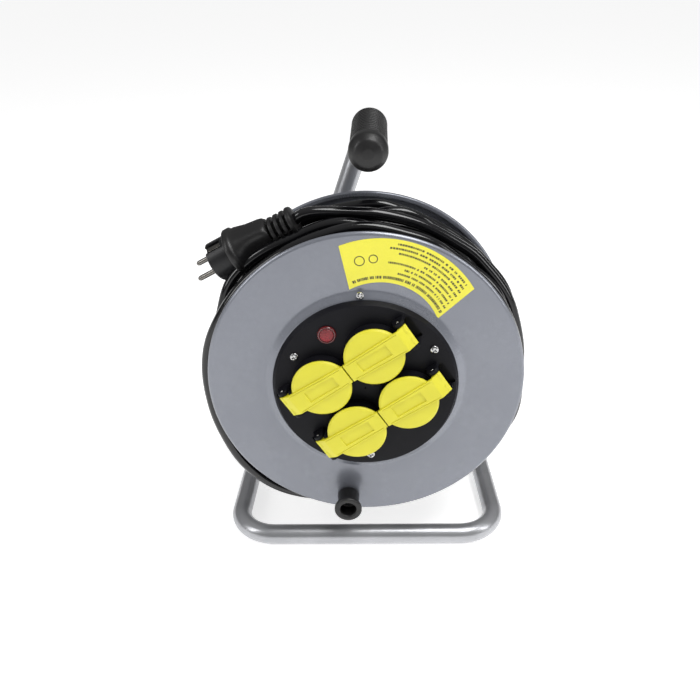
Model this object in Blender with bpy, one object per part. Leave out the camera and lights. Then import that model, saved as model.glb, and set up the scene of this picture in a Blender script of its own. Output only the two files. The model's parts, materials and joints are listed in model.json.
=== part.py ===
"""Extension cord reel: steel drum with a four-way socket panel on a bent-tube stand.

World frame: +X right, +Y towards the back, +Z up, z = 0 on the floor.
Depths along the drum's axis are written from the front flange's face, and
the y() function turns them into world values.  All lengths are metres.
"""
from math import acos, cos, pi, radians, sin, tan

import bmesh
import bpy
from mathutils import Matrix, Vector

MM = 0.001
GAP = 0.3 * MM

# Drum: depths are measured from the front flange's face
FLANGE_R = 145 * MM
DRUM_W = 118 * MM
SHEET = 1.2 * MM
HEM_W = 7 * MM
HEM_T = 5 * MM
CORE_R = 90 * MM
OPENING_R = 80 * MM
STEP_R = 91.5 * MM
STEP_H = 4.1 * MM
REAR_STEP = 2.5 * MM
ENTRY_DEPTH = 22 * MM
AXIS_Z = 191 * MM

# Stand: one bent tube
TUBE_R = 10 * MM
TUBE_WALL = 1.2 * MM
TUBE_SIDES = 12
BEND_R = 38 * MM
BAR_DEPTH = 5 * MM
STAND_DEPTH = 165 * MM
FRONT_HALF = 133.5 * MM
REAR_HALF = 127 * MM
UPRIGHT_TOP = 34 * MM

# Handle
GRIP_X = 4 * MM
GRIP_H = 206 * MM
GRIP_R = 16.4 * MM
GRIP_FRONT = 20 * MM
GRIP_BACK = 118 * MM

# Crank knob
KNOB_X = -17.8 * MM
KNOB_Z = -127.5 * MM
KNOB_R = 10 * MM
KNOB_REACH = 24.5 * MM

# Socket panel and its four sockets
PANEL_R = 84.3 * MM
PANEL_FACE = -10.3 * MM
PITCH = 56 * MM
GRID_ANGLE = radians(33.3)
CUP_R = 19.6 * MM
COLLAR_R = 25 * MM
COLLAR_FRONT = -22 * MM
CUP_DEPTH = 17.5 * MM
LID_R = 27.2 * MM
LID_BACK = -22.4 * MM
LID_FRONT = -25.4 * MM
STRAP_FRONT = -26.8 * MM
STRAP_HALF = 10.4 * MM
HINGE_U = 33.5 * MM
HINGE_DEPTH = -18.6 * MM
HINGE_PIN_R = 1.2 * MM
SCREW_CIRCLE = 72.5 * MM
SCREW_ANGLES = (32.5, 152.5, 272.5)
BUTTON_X = -33.5 * MM
BUTTON_Z = 54.5 * MM

# Axle
AXLE_R = 8 * MM
STUD_R = 6 * MM
PLATE_T = 4 * MM

# Cable and plug
CABLE_R = 5 * MM
WINDING_R = 137 * MM
SHOULDER_R = 146.5 * MM
GROOVE = (23.2 * MM, 67 * MM)
PLUG_FACE = Vector((-0.1350, 0.0451, 0.1014))
PLUG_AXIS = Vector((-0.878, 0.033, -0.477)).normalized()
PIN_LINE = Vector((-0.238, 0.836, 0.495))
PLUG_R = 18.2 * MM
PLUG_LENGTH = 85 * MM
PIN_HALF = 9.5 * MM
PIN_R = 2.4 * MM

# Halfway between the lids' straps, which reach furthest forward, and the back of the stand
CENTRE_DEPTH = (STAND_DEPTH + TUBE_R + STRAP_FRONT) / 2


def y(depth):
    """World y of a depth behind the front flange's face."""
    return depth - CENTRE_DEPTH


AXIS = Vector((0, -CENTRE_DEPTH, AXIS_Z))


# ---------------------------------------------------------------- helpers

def material(name, colour, roughness, metallic=0.0):
    mat = bpy.data.materials.get(name)
    if mat is None:
        mat = bpy.data.materials.new(name)
        mat.use_nodes = True
        shader = mat.node_tree.nodes["Principled BSDF"]
        shader.inputs["Base Color"].default_value = (*colour, 1)
        shader.inputs["Roughness"].default_value = roughness
        shader.inputs["Metallic"].default_value = metallic
    return mat


def steel_grey():
    return material("silver_tube_paint", (0.33, 0.34, 0.36), 0.35, 0.7)


def flange_grey():
    return material("grey_flange_paint", (0.24, 0.25, 0.29), 0.4, 0.3)


def zinc():
    return material("zinc_plate", (0.62, 0.62, 0.6), 0.3, 1.0)


def brass():
    return material("brass", (0.75, 0.56, 0.25), 0.3, 1.0)


def nickel():
    return material("nickel_plate", (0.7, 0.69, 0.66), 0.25, 1.0)


def black_plastic():
    return material("black_plastic", (0.02, 0.02, 0.022), 0.5)


def black_rubber():
    return material("black_rubber", (0.015, 0.015, 0.016), 0.6)


def cable_pvc():
    return material("cable_pvc", (0.008, 0.008, 0.009), 0.25)


def yellow_plastic():
    return material("yellow_plastic", (0.78, 0.72, 0.06), 0.45)


def red_plastic():
    return material("red_plastic", (0.45, 0.01, 0.015), 0.2)


def empty(name, location, parent=None):
    obj = bpy.data.objects.new(name, None)
    obj.location = location
    bpy.context.collection.objects.link(obj)
    if parent:
        obj.parent = parent
        obj.matrix_parent_inverse = Matrix.Translation(-parent.location)
    return obj


def finish_mesh(name, bm, mat, parent=None, smooth=True):
    """Turn a closed bmesh into a named object whose faces point out."""
    bmesh.ops.recalc_face_normals(bm, faces=bm.faces)
    mesh = bpy.data.meshes.new(name)
    bm.to_mesh(mesh)
    bm.free()
    return finish_object(name, mesh, mat, parent, smooth)


def finish_object(name, mesh, mat, parent=None, smooth=True):
    if mat and not mesh.materials:
        mesh.materials.append(mat)
    if smooth:
        mesh.shade_smooth()
        mesh.set_sharp_from_angle(angle=radians(35))
    obj = bpy.data.objects.new(name, mesh)
    bpy.context.collection.objects.link(obj)
    if parent:
        obj.parent = parent
    return obj


def lathe_bmesh(profile, segments, turn=0.0):
    """Spin a closed (radius, depth) outline around the local Y axis."""
    bm = bmesh.new()
    rings = []
    for radius, depth in profile:
        if radius < 1e-9:
            rings.append([bm.verts.new((0, depth, 0))])
            continue
        ring = []
        for i in range(segments):
            angle = turn + 2 * pi * i / segments
            ring.append(bm.verts.new((radius * cos(angle), depth, radius * sin(angle))))
        rings.append(ring)
    for k, ring in enumerate(rings):
        nxt = rings[(k + 1) % len(rings)]
        for i in range(segments):
            j = (i + 1) % segments
            corners = [ring[i % len(ring)], ring[j % len(ring)], nxt[j % len(nxt)], nxt[i % len(nxt)]]
            unique = list(dict.fromkeys(corners))
            if len(unique) > 2:
                bm.faces.new(unique)
    return bm


def lathe(name, profile, segments, mat, parent=None, turn=0.0):
    return finish_mesh(name, lathe_bmesh(profile, segments, turn), mat, parent)


def prism_bmesh(outline, low, high, axis="Y"):
    """Extrude an (a, b) outline: a, b are X, Z for axis Y, and X, Y for axis Z."""
    bm = bmesh.new()

    def point(a, b, c):
        return (a, c, b) if axis == "Y" else (a, b, c)

    bottom = [bm.verts.new(point(a, b, low)) for a, b in outline]
    top = [bm.verts.new(point(a, b, high)) for a, b in outline]
    bm.faces.new(bottom)
    bm.faces.new(top)
    count = len(outline)
    for i in range(count):
        j = (i + 1) % count
        bm.faces.new((bottom[i], bottom[j], top[j], top[i]))
    return bm


def prism(name, outline, low, high, mat, parent=None, axis="Y"):
    return finish_mesh(name, prism_bmesh(outline, low, high, axis), mat, parent)


def arc(centre, radius, start, stop, steps):
    """Points on an arc in degrees, both ends included."""
    points = []
    for i in range(steps + 1):
        angle = radians(start + (stop - start) * i / steps)
        points.append((centre[0] + radius * cos(angle), centre[1] + radius * sin(angle)))
    return points


def rounded_rectangle(half_a, half_b, corner, steps=3):
    points = []
    corners = ((1, 1, 0), (-1, 1, 90), (-1, -1, 180), (1, -1, 270))
    for sign_a, sign_b, start in corners:
        centre = (sign_a * (half_a - corner), sign_b * (half_b - corner))
        points += arc(centre, corner, start, start + 90, steps)
    return points


def hide_tool(obj):
    obj.hide_render = True
    obj.display_type = "WIRE"


def boolean(target, tool, operation):
    """Cut or join another shape, which is kept as a hidden guide."""
    hide_tool(tool)
    mod = target.modifiers.new(operation.lower(), "BOOLEAN")
    mod.operation = operation
    mod.solver = "EXACT"
    mod.object = tool


def sweep_rings(path, start, normal):
    """A frame (point, side, up) at each path point, carried both ways from start without twist."""
    frames = {}
    for order in (range(start, len(path)), range(start, -1, -1)):
        side = normal
        for i in order:
            before = path[max(i - 1, 0)]
            after = path[min(i + 1, len(path) - 1)]
            tangent = (after - before).normalized()
            side = (side - tangent * side.dot(tangent)).normalized()
            frames[i] = (path[i], side, tangent.cross(side))
    return [frames[i] for i in range(len(path))]


def hollow_tube_bmesh(frames, outer, inner, sides, turn):
    bm = bmesh.new()
    shells = []
    for radius in (outer, inner):
        shell = []
        for point, side, up in frames:
            ring = []
            for i in range(sides):
                angle = turn + 2 * pi * i / sides
                ring.append(bm.verts.new(point + radius * (cos(angle) * side + sin(angle) * up)))
            shell.append(ring)
        shells.append(shell)
    for shell in shells:
        for ring, nxt in zip(shell, shell[1:]):
            for i in range(sides):
                j = (i + 1) % sides
                bm.faces.new((ring[i], ring[j], nxt[j], nxt[i]))
    for end in (0, -1):
        for i in range(sides):
            j = (i + 1) % sides
            bm.faces.new((shells[0][end][i], shells[0][end][j], shells[1][end][j], shells[1][end][i]))
    return bm


def filleted_path(corners, radius, steps):
    """Round each inner corner of a polyline with an arc of the given radius."""
    path = [corners[0]]
    for before, corner, after in zip(corners, corners[1:], corners[2:]):
        back = (before - corner).normalized()
        ahead = (after - corner).normalized()
        half = acos(back.dot(ahead)) / 2
        centre = corner + (back + ahead).normalized() * radius / sin(half)
        start = corner + back * radius / tan(half)
        stop = corner + ahead * radius / tan(half)
        for i in range(steps + 1):
            path.append(centre + slerp(start - centre, stop - centre, i / steps))
    path.append(corners[-1])
    return path


def slerp(a, b, t):
    angle = a.angle(b)
    return (a * sin((1 - t) * angle) + b * sin(t * angle)) / sin(angle)


# ---------------------------------------------------------------- stand

def stand_corners():
    """Centre line of the stand's tube, from the grip to the right upright's end."""
    floor = TUBE_R
    lean = (GRIP_X + REAR_HALF) / (GRIP_H + AXIS_Z - floor)
    right_top = REAR_HALF - lean * (UPRIGHT_TOP + AXIS_Z - floor)
    return [
        Vector((GRIP_X, y(GRIP_FRONT + 8 * MM), AXIS_Z + GRIP_H)),
        Vector((GRIP_X, y(STAND_DEPTH), AXIS_Z + GRIP_H)),
        Vector((-REAR_HALF, y(STAND_DEPTH), floor)),
        Vector((-FRONT_HALF, y(BAR_DEPTH), floor)),
        Vector((FRONT_HALF, y(BAR_DEPTH), floor)),
        Vector((REAR_HALF, y(STAND_DEPTH), floor)),
        Vector((right_top, y(STAND_DEPTH), AXIS_Z + UPRIGHT_TOP)),
    ]


def make_stand_tube():
    """A twelve-sided tube whose flats, not corners, are 10 mm from its centre line."""
    path = filleted_path(stand_corners(), BEND_R, 4)
    corner_r = TUBE_R / cos(pi / TUBE_SIDES)
    inner_r = TUBE_R - TUBE_WALL
    bar_start = min(range(len(path)), key=lambda i: (path[i].y, path[i].x))
    frames = sweep_rings(path, bar_start, Vector((0, 0, 1)))
    bm = hollow_tube_bmesh(frames, corner_r, inner_r, TUBE_SIDES, pi / TUBE_SIDES)
    finish_mesh("stand_tube", bm, steel_grey())


def make_tube_end_cap():
    corners = stand_corners()
    direction = (corners[-1] - corners[-2]).normalized()
    stem = TUBE_R - TUBE_WALL - 1.5 * GAP
    head = [(0, 0.4 * MM), (TUBE_R, 0.4 * MM), (TUBE_R, 2 * MM), (TUBE_R - 2 * MM, 3.4 * MM), (0, 3.6 * MM)]
    profile = [(0, -12 * MM), (stem, -12 * MM), (stem, 0.4 * MM)] + head[1:]
    cap = lathe("tube_end_cap", profile, 16, black_plastic())
    cap.location = corners[-1]
    cap.rotation_euler = direction.to_track_quat("Y", "Z").to_euler()


def make_hub_plate():
    plate = prism("hub_plate", rounded_rectangle(80 * MM, 27 * MM, 10 * MM), 0, PLATE_T, steel_grey())
    plate.location = (0, y(STAND_DEPTH - TUBE_R - PLATE_T - 2 * GAP), AXIS_Z)
    hole = lathe("hub_plate_hole", solid_rod(STUD_R + GAP, -PLATE_T, 2 * PLATE_T), 24, None)
    hole.location = plate.location
    boolean(plate, hole, "DIFFERENCE")


def solid_rod(radius, low, high):
    return [(0, low), (radius, low), (radius, high), (0, high)]


def ring_profile(inner, outer, low, high):
    return [(inner, low), (outer, low), (outer, high), (inner, high)]


def make_axle_parts():
    """Axle bolted to the hub plate, with spacer, washers, nut and retaining clip."""
    plate_front = STAND_DEPTH - TUBE_R - PLATE_T - 2 * GAP
    plate_back = plate_front + PLATE_T
    front = 42 * MM
    groove = 46 * MM
    profile = [
        (0, front), (AXLE_R - MM, front), (AXLE_R, front + MM), (AXLE_R, groove),
        (AXLE_R - 1.2 * MM, groove), (AXLE_R - 1.2 * MM, groove + 1.8 * MM),
        (AXLE_R, groove + 1.8 * MM), (AXLE_R, plate_front - GAP), (STUD_R, plate_front - GAP),
        (STUD_R, plate_back + 12 * MM), (STUD_R - MM, plate_back + 13 * MM), (0, plate_back + 13 * MM),
    ]
    lathe("axle", profile, 16, zinc()).location = AXIS
    pieces = (
        ("axle_clip", AXLE_R - 0.9 * MM, 12 * MM, groove + 0.3 * MM, groove + 1.5 * MM),
        ("front_washer", AXLE_R + GAP, 14 * MM, 48.2 * MM, 49.4 * MM),
        ("thrust_washer", AXLE_R + GAP, 18 * MM, 124.1 * MM, 125.4 * MM),
        ("axle_spacer", AXLE_R + GAP, 12.5 * MM, 125.7 * MM, plate_front - GAP),
        ("nut_washer", STUD_R + GAP, 12 * MM, plate_back + GAP, plate_back + 1.9 * MM),
    )
    for name, inner, outer, low, high in pieces:
        lathe(name, ring_profile(inner, outer, low, high), 16, zinc()).location = AXIS
    nut = hexagon_nut("axle_nut", 10.4 * MM, STUD_R + GAP, plate_back + 2.2 * MM, plate_back + 9 * MM)
    nut.location = AXIS


def hexagon_nut(name, corner_r, bore_r, low, high):
    """A hexagon with a six-times-two sided bore, so both outlines share their steps."""
    bm = bmesh.new()
    rings = []
    outer = []
    for i in range(12):
        angle = pi * i / 6
        radius = corner_r if i % 2 == 0 else corner_r * cos(pi / 6)
        outer.append((radius * cos(angle), radius * sin(angle)))
    bore_corner = bore_r / cos(pi / 12)
    inner = [(bore_corner * cos(pi * i / 6), bore_corner * sin(pi * i / 6)) for i in range(12)]
    for outline, depth in ((inner, low), (outer, low), (outer, high), (inner, high)):
        rings.append([bm.verts.new((a, depth, b)) for a, b in outline])
    for k, ring in enumerate(rings):
        nxt = rings[(k + 1) % 4]
        for i in range(12):
            j = (i + 1) % 12
            bm.faces.new((ring[i], ring[j], nxt[j], nxt[i]))
    return finish_mesh(name, bm, zinc())


def make_handle_grip():
    """One soft moulding: a domed end and a ribbed sleeve, pushed over the tube."""
    bore = TUBE_R + 0.8 * MM
    tube_end = GRIP_FRONT + 8 * MM - GAP
    profile = [(0, tube_end), (0, GRIP_FRONT)]
    profile += [(9 * MM, GRIP_FRONT + 1 * MM), (14 * MM, GRIP_FRONT + 4 * MM),
                (17 * MM, GRIP_FRONT + 10 * MM)]
    profile += [(17 * MM, GRIP_FRONT + 16 * MM), (GRIP_R, GRIP_FRONT + 20 * MM)]
    rib_start = GRIP_FRONT + 22 * MM
    ribs = 6
    pitch = (GRIP_BACK - 4 * MM - rib_start) / ribs
    for k in range(ribs):
        base = rib_start + k * pitch
        profile += [(GRIP_R - 0.8 * MM, base), (GRIP_R, base + 0.5 * pitch)]
    profile += [(GRIP_R, GRIP_BACK - 3 * MM), (GRIP_R - 2 * MM, GRIP_BACK), (bore, GRIP_BACK),
                (bore, tube_end)]
    grip = lathe("handle_grip", profile, 20, black_rubber())
    grip.location = (GRIP_X, y(0), AXIS_Z + GRIP_H)


# ---------------------------------------------------------------- drum

def flange_profile(inner_r, step_r, step_h):
    """Sheet flange: raised step by the opening, flat web and hemmed rim, front at depth 0."""
    slope = 7 * MM
    return [
        (inner_r, -step_h), (step_r - slope, -step_h), (step_r, 0), (FLANGE_R - 3 * MM, 0),
        (FLANGE_R, 2.5 * MM), (FLANGE_R - 3 * MM, HEM_T), (FLANGE_R - HEM_W, HEM_T),
        (FLANGE_R - HEM_W, SHEET), (step_r - 0.4 * MM, SHEET),
        (step_r - slope - 0.4 * MM, SHEET - step_h), (inner_r, SHEET - step_h),
    ]


def make_flanges(drum):
    front = lathe("front_flange", flange_profile(OPENING_R, STEP_R, STEP_H), 40, flange_grey(), drum)
    hole = lathe("knob_pin_hole", solid_rod(3 * MM + GAP, -3 * MM, 4 * MM), 16, None, drum)
    hole.location = (KNOB_X, 0, KNOB_Z)
    boolean(front, hole, "DIFFERENCE")
    profile = [(radius, DRUM_W - depth) for radius, depth in flange_profile(12.6 * MM, STEP_R, REAR_STEP)]
    lathe("rear_flange", profile, 40, flange_grey(), drum)


def make_core(drum):
    """Rolled sheet cylinder between the flanges, with the cable's entry hole."""
    front = SHEET + GAP
    back = DRUM_W - SHEET - GAP
    core = lathe("drum_core", ring_profile(CORE_R - SHEET, CORE_R, front, back), 32, zinc(), drum)
    hole = lathe("entry_hole", solid_rod(8.4 * MM, -6 * MM, 6 * MM), 10, None, drum)
    hole.location = (0, ENTRY_DEPTH, -CORE_R)
    hole.rotation_euler = (pi / 2, 0, 0)
    boolean(core, hole, "DIFFERENCE")
    profile = [
        (6 * MM, -4 * MM), (9.5 * MM, -4 * MM), (9.5 * MM, -2.6 * MM), (7.6 * MM, -2.6 * MM),
        (7.6 * MM, 0.5 * MM), (9.5 * MM, 0.5 * MM), (9.5 * MM, 1 * MM), (6 * MM, 1 * MM),
    ]
    grommet = lathe("entry_grommet", profile, 10, black_rubber(), drum)
    grommet.location = (0, ENTRY_DEPTH, -CORE_R)
    grommet.rotation_euler = (-pi / 2, 0, 0)


def make_hub_sleeve(drum):
    """Plastic bearing sleeve through the rear flange, running on the axle."""
    bore = AXLE_R + GAP
    rear = DRUM_W + REAR_STEP + GAP
    profile = [
        (bore, 50 * MM), (12.2 * MM, 50 * MM), (12.2 * MM, rear), (30 * MM, rear),
        (30 * MM, rear + 2.4 * MM), (28.6 * MM, rear + 3 * MM), (bore, rear + 3 * MM),
    ]
    lathe("hub_sleeve", profile, 20, black_plastic(), drum)
    seat = DRUM_W + REAR_STEP - SHEET - GAP
    ring = ring_profile(12.5 * MM, 26 * MM, seat - 3 * MM, seat)
    lathe("sleeve_lock_ring", ring, 24, zinc(), drum)


# ---------------------------------------------------------------- socket panel

def socket_places():
    """Name, centre and outward direction of each socket."""
    along = Vector((cos(GRID_ANGLE), 0, sin(GRID_ANGLE)))
    across = Vector((-sin(GRID_ANGLE), 0, cos(GRID_ANGLE)))
    half = PITCH / 2
    return (
        ("left", -half * along + half * across, GRID_ANGLE + pi),
        ("top", half * along + half * across, GRID_ANGLE),
        ("right", half * along - half * across, GRID_ANGLE),
        ("bottom", -half * along - half * across, GRID_ANGLE + pi),
    )


def place_on_panel(obj, centre, angle, depth=0.0, u=0.0):
    """Put a piece made in socket axes (X outward, Z across) on the panel."""
    direction = Vector((cos(angle), 0, sin(angle)))
    obj.location = centre + u * direction + Vector((0, depth, 0))
    obj.rotation_euler = (0, -angle, 0)


def make_panel(drum):
    """Moulded panel: bevelled rim resting on the flange, lugs, and holes for its parts."""
    rim_back = -STEP_H - GAP
    back = PANEL_FACE + 5 * MM
    skirt = OPENING_R - 0.6 * MM
    profile = [
        (0, PANEL_FACE), (81.7 * MM, PANEL_FACE), (83.5 * MM, PANEL_FACE + 1.2 * MM), (PANEL_R, rim_back),
        (skirt, rim_back), (skirt, 2 * MM), (skirt - 2.5 * MM, 2 * MM), (skirt - 2.5 * MM, back), (0, back),
    ]
    panel = lathe("socket_panel", profile, 48, black_plastic(), drum)
    for name, centre, angle in socket_places():
        for side in (-1, 1):
            lug = lug_shape("lug_%s_%d" % (name, side), drum)
            across = Vector((-sin(angle), 0, cos(angle))) * side * (STRAP_HALF + 2.1 * MM)
            place_on_panel(lug, centre + across, angle, 0, HINGE_U)
            boolean(panel, lug, "UNION")
        cut_round_hole(panel, "cup_hole_" + name, COLLAR_R - 1.2 * MM, centre, drum, 24)
        pocket = prism("pocket_" + name, rounded_rectangle(6 * MM, STRAP_HALF + 0.4 * MM, 0.8 * MM, 1),
                       PANEL_FACE - 2 * MM, PANEL_FACE + 3.4 * MM, None, drum)
        place_on_panel(pocket, centre, angle, 0, HINGE_U + 4 * MM)
        boolean(panel, pocket, "DIFFERENCE")
        pin_hole = lathe("pin_hole_" + name, solid_rod(HINGE_PIN_R + GAP, -20 * MM, 20 * MM), 8, None, drum)
        place_on_panel(pin_hole, centre, angle, HINGE_DEPTH, HINGE_U)
        turn = Matrix.Rotation(-angle, 3, "Y") @ Matrix.Rotation(pi / 2, 3, "X")
        pin_hole.rotation_euler = turn.to_euler()
        boolean(panel, pin_hole, "DIFFERENCE")
    cut_round_hole(panel, "button_hole", 7.4 * MM, Vector((BUTTON_X, 0, BUTTON_Z)), drum, 24)
    for k, point in enumerate(screw_points()):
        cut_round_hole(panel, "screw_hole_%d" % (k + 1), 2 * MM + GAP, point, drum, 12)


def lug_shape(name, drum):
    """Rounded hinge lug rising from the panel's face, made around its own pin."""
    top = HINGE_DEPTH - 3.4 * MM
    foot = PANEL_FACE + 2 * MM
    outline = [(5 * MM, foot), (5 * MM, PANEL_FACE)]
    outline += arc((0, top + 3.4 * MM), 3.4 * MM, 0, -180, 4)
    outline += [(-5 * MM, PANEL_FACE), (-5 * MM, foot)]
    return prism(name, outline, -1.4 * MM, 1.4 * MM, None, drum, "Z")


def screw_points():
    return [Vector((SCREW_CIRCLE * cos(radians(a)), 0, SCREW_CIRCLE * sin(radians(a)))) for a in SCREW_ANGLES]


def cut_round_hole(target, name, radius, centre, drum, sides):
    tool = lathe(name, solid_rod(radius, -30 * MM, 30 * MM), sides, None, drum)
    tool.location = centre
    boolean(target, tool, "DIFFERENCE")


def make_socket_cups(drum):
    """Cup with a collar on the panel's face and two contact holes in its floor."""
    floor = COLLAR_FRONT + CUP_DEPTH
    body_r = COLLAR_R - 1.2 * MM - GAP
    profile = [
        (0, floor), (CUP_R, floor), (CUP_R, COLLAR_FRONT), (COLLAR_R - 0.8 * MM, COLLAR_FRONT),
        (COLLAR_R, COLLAR_FRONT + 0.8 * MM), (COLLAR_R, PANEL_FACE - GAP), (body_r, PANEL_FACE - GAP),
        (body_r, floor + 3 * MM), (0, floor + 3 * MM),
    ]
    for name, centre, angle in socket_places():
        cup = lathe("socket_cup_" + name, profile, 24, black_plastic(), drum)
        place_on_panel(cup, centre, angle)
        for side in (-1, 1):
            across = Vector((-sin(angle), 0, cos(angle))) * side * PIN_HALF
            cut_round_hole(cup, "contact_hole_%s_%d" % (name, side), 2.9 * MM, centre + across, drum, 8)


def make_earth_clips(drum):
    """U-shaped strip across each cup's floor with a sprung tongue up both sides."""
    floor = COLLAR_FRONT + CUP_DEPTH - GAP
    reach = CUP_R - 0.6 * MM
    thick = 0.8 * MM
    tongue = floor - 12 * MM
    outline = [
        (-reach, floor), (-reach, tongue), (-reach + thick, tongue), (-reach + thick + MM, tongue + 5 * MM),
        (-reach + thick, floor - thick), (reach - thick, floor - thick),
        (reach - thick - MM, tongue + 5 * MM),
        (reach - thick, tongue), (reach, tongue), (reach, floor),
    ]
    for name, centre, angle in socket_places():
        clip = prism("earth_clip_" + name, outline, -2.5 * MM, 2.5 * MM, nickel(), drum, "Z")
        place_on_panel(clip, centre, angle)


def make_contact_rails(drum):
    """Inner pins share the live rail and outer pins the neutral rail."""
    half = PITCH / 2
    near = half - PIN_HALF
    far = half + PIN_HALF
    end = half + 5 * MM
    wide = 3.2 * MM
    web = 4 * MM
    live = [
        (-end, near - wide), (-web, near - wide), (-web, -near + wide), (-end, -near + wide),
        (-end, -near - wide), (end, -near - wide), (end, -near + wide), (web, -near + wide),
        (web, near - wide), (end, near - wide), (end, near + wide), (-end, near + wide),
    ]
    neutral = [
        (-end, far - wide), (end + 2 * MM, far - wide), (end + 2 * MM, -far + wide), (-end, -far + wide),
        (-end, -far - wide), (end + 8 * MM, -far - wide), (end + 8 * MM, far + wide), (-end, far + wide),
    ]
    rail_front = COLLAR_FRONT + CUP_DEPTH + 3 * MM + GAP
    for name, outline in (("live_rail", live), ("neutral_rail", neutral)):
        rail = prism(name, outline, rail_front, rail_front + MM, brass(), drum)
        rail.rotation_euler = (0, -GRID_ANGLE, 0)


def make_back_cover(drum):
    """Insulating dish behind the sockets, open to the front, with a wire inlet."""
    outer = OPENING_R - 3.5 * MM
    inner = outer - 1.5 * MM
    front = 2.4 * MM
    back = 30 * MM
    profile = [
        (outer, front), (outer, back), (0, back), (0, back - 2 * MM),
        (inner, back - 2 * MM), (inner, front),
    ]
    cover = lathe("panel_back_cover", profile, 32, black_plastic(), drum)
    cut = lathe("wire_inlet", solid_rod(6 * MM, 20 * MM, 40 * MM), 16, None, drum)
    cut.location = (0, 0, -50 * MM)
    boolean(cover, cut, "DIFFERENCE")


def lid_profile():
    """Side view of the strap in (outward, depth), measured from the hinge pin."""
    front = STRAP_FRONT - HINGE_DEPTH
    back = LID_FRONT - HINGE_DEPTH + 0.5 * MM
    inner = -PITCH / 2 + 0.3 * MM - HINGE_U
    return [
        (inner, front), (-2.5 * MM, front), (5.6 * MM, front + 5 * MM),
        (5.2 * MM, front + 6.4 * MM), (-3 * MM, back + 0.8 * MM), (-3 * MM, back), (inner, back),
    ]


def make_lids(drum):
    """Sprung flap: round cover, raised strap over it and two hinge knuckles."""
    for name, centre, angle in socket_places():
        hinge = centre + HINGE_U * Vector((cos(angle), 0, sin(angle)))
        pivot = empty("lid_axis_" + name, AXIS + hinge + Vector((0, HINGE_DEPTH, 0)), drum)
        disc_low = LID_FRONT - HINGE_DEPTH
        disc_high = LID_BACK - HINGE_DEPTH
        disc = [
            (0, disc_low), (LID_R - 0.6 * MM, disc_low), (LID_R, disc_low + 0.6 * MM),
            (LID_R, disc_high), (0, disc_high),
        ]
        lid = lathe("lid_" + name, disc, 32, yellow_plastic(), pivot)
        lid.data.transform(Matrix.Translation((-HINGE_U, 0, 0)))
        lid.rotation_euler = (0, -angle, 0)
        strap = prism("strap_" + name, lid_profile(), -STRAP_HALF, STRAP_HALF, None, pivot, "Z")
        strap.rotation_euler = lid.rotation_euler
        boolean(lid, strap, "UNION")
        for side in (-1, 1):
            low, high = sorted((side * 3.2 * MM, side * 10 * MM))
            knuckle = prism("knuckle_%s_%d" % (name, side), knuckle_outline(), low, high, None, pivot, "Z")
            knuckle.rotation_euler = lid.rotation_euler
            boolean(lid, knuckle, "UNION")
        bore = lathe("bore_" + name, solid_rod(HINGE_PIN_R + GAP, -20 * MM, 20 * MM), 8, None, pivot)
        bore.rotation_euler = (Matrix.Rotation(-angle, 3, "Y") @ Matrix.Rotation(pi / 2, 3, "X")).to_euler()
        boolean(lid, bore, "DIFFERENCE")


def knuckle_outline():
    """Round eye around the pin, with a web up to the strap."""
    top = LID_FRONT - HINGE_DEPTH + MM
    outline = arc((0, 0), 3 * MM, 20, 160, 4)
    outline += [(-4.5 * MM, top), (2.4 * MM, top)]
    return outline


def make_hinge_hardware(drum):
    """Steel pin through both lugs, and a coil spring between the lid's knuckles."""
    for name, centre, angle in socket_places():
        turn = (Matrix.Rotation(-angle, 3, "Y") @ Matrix.Rotation(pi / 2, 3, "X")).to_euler()
        pin = lathe("hinge_pin_" + name, solid_rod(HINGE_PIN_R, -14 * MM, 14 * MM), 8, nickel(), drum)
        place_on_panel(pin, centre, angle, HINGE_DEPTH, HINGE_U)
        pin.rotation_euler = turn
        spring = make_coil("lid_spring_" + name, drum)
        place_on_panel(spring, centre, angle, HINGE_DEPTH, HINGE_U)


def make_coil(name, drum):
    """Torsion spring: three and a half turns of wire along the local Z axis."""
    turns = 3.5
    steps = int(turns * 6)
    coil_r = 2.1 * MM
    half = 2.2 * MM
    points = [Vector((-7 * MM, -coil_r, -half))]
    for i in range(steps + 1):
        angle = -pi / 2 + 2 * pi * turns * i / steps
        points.append(Vector((coil_r * cos(angle), coil_r * sin(angle), -half + 2 * half * i / steps)))
    points.append(Vector((-7 * MM, coil_r, half)))
    return cable_curve(name, points, 0.35 * MM, 0, nickel(), drum)


def cable_curve(name, points, radius, resolution, mat, parent=None):
    curve = bpy.data.curves.new(name, "CURVE")
    curve.dimensions = "3D"
    curve.bevel_depth = radius
    curve.bevel_resolution = resolution
    curve.use_fill_caps = True
    curve.render_resolution_u = 0
    spline = curve.splines.new("POLY")
    spline.points.add(len(points) - 1)
    for target, point in zip(spline.points, points):
        target.co = (*point, 1)
    curve.materials.append(mat)
    obj = bpy.data.objects.new(name, curve)
    bpy.context.collection.objects.link(obj)
    if parent:
        obj.parent = parent
    return obj


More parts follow.
